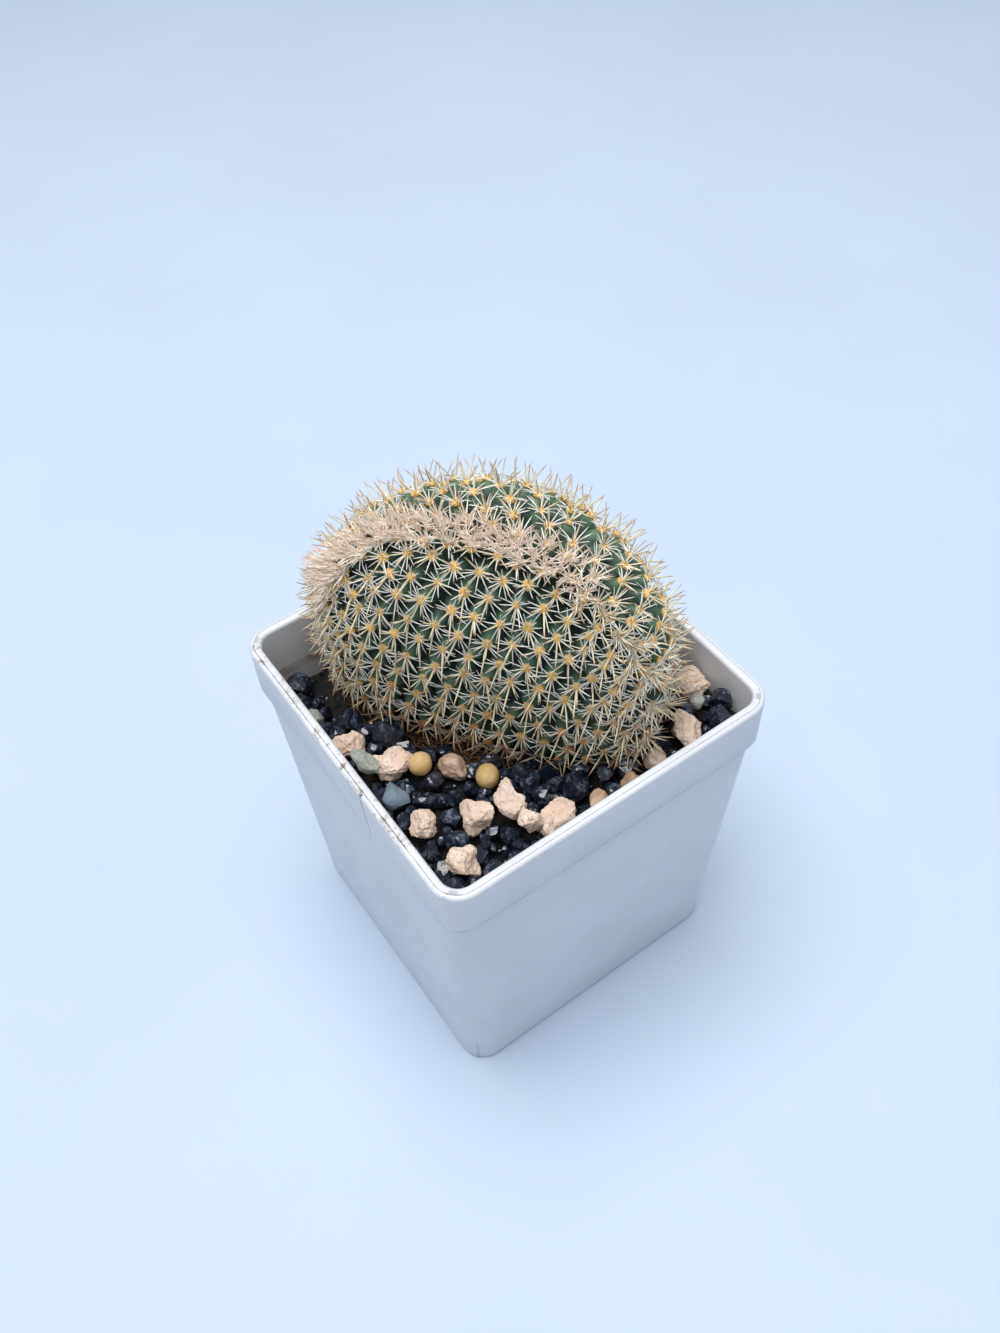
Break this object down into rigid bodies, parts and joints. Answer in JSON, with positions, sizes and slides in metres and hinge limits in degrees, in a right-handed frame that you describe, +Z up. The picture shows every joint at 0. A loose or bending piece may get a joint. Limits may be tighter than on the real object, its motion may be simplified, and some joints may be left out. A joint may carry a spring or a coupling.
{
  "type": "potted cactus",
  "caption": "Round crested cactus in a square tapered plastic pot with a collar, standing in dark mix under loose gravel.",
  "frame": {"origin": "centre of the pot's underside, on the surface that it stands on", "axes": "+Z up; the pot's walls face along X and Y; the corner with the most open gravel is at -X, -Y"},
  "size_m": [0.09, 0.0906, 0.1506],
  "materials": {
    "white_plastic": "slightly glossy moulded plastic, with fine specks and a little dirt at the rim",
    "potting_mix": "rough dark crumbly peat mix",
    "flesh": "waxy bluish green skin over conical tubercles",
    "spines": "cream spines with orange-brown tips, yellow felt at the base",
    "beige_stone": "rough porous baked clay",
    "brown_stone": "rough grained",
    "yellow_pebble": "smooth rounded, faintly mottled",
    "grey_stone": "matt fine grained",
    "blue_stone": "broken faces, satin",
    "black_shard": "glassy broken faces"
  },
  "bodies": {
    "root": {"beige_stone_01": "beige_stone", "beige_stone_02": "beige_stone", "beige_stone_03": "beige_stone", "beige_stone_04": "beige_stone", "beige_stone_05": "beige_stone", "beige_stone_06": "beige_stone", "beige_stone_07": "beige_stone", "beige_stone_08": "beige_stone", "beige_stone_09": "beige_stone", "beige_stone_10": "beige_stone", "beige_stone_11": "beige_stone", "black_shard_01": "black_shard", "black_shard_02": "black_shard", "black_shard_03": "black_shard", "black_shard_04": "black_shard", "black_shard_05": "black_shard", "black_shard_06": "black_shard", "black_shard_07": "black_shard", "black_shard_08": "black_shard", "black_shard_09": "black_shard", "blue_stone_01": "blue_stone", "brown_stone_01": "brown_stone", "brown_stone_02": "brown_stone", "brown_stone_03": "brown_stone", "cactus_body": "flesh", "grey_stone_01": "grey_stone", "grey_stone_02": "grey_stone", "grey_stone_03": "grey_stone", "pot": "white_plastic", "potting_mix": "potting_mix", "spine_cluster_01": "spines", "spine_cluster_02": "spines", "spine_cluster_03": "spines", "spine_cluster_04": "spines", "spine_cluster_05": "spines", "spine_cluster_06": "spines", "spine_cluster_07": "spines", "spine_cluster_08": "spines", "spine_cluster_09": "spines", "spine_cluster_10": "spines", "spine_cluster_11": "spines", "spine_cluster_12": "spines", "spine_cluster_13": "spines", "spine_cluster_14": "spines", "spine_cluster_15": "spines", "spine_cluster_16": "spines", "spine_cluster_17": "spines", "spine_cluster_18": "spines", "spine_cluster_19": "spines", "spine_cluster_20": "spines", "spine_cluster_21": "spines", "spine_cluster_22": "spines", "spine_cluster_23": "spines", "spine_cluster_24": "spines", "yellow_pebble_01": "yellow_pebble", "yellow_pebble_02": "yellow_pebble"}
  },
  "joints": []
}
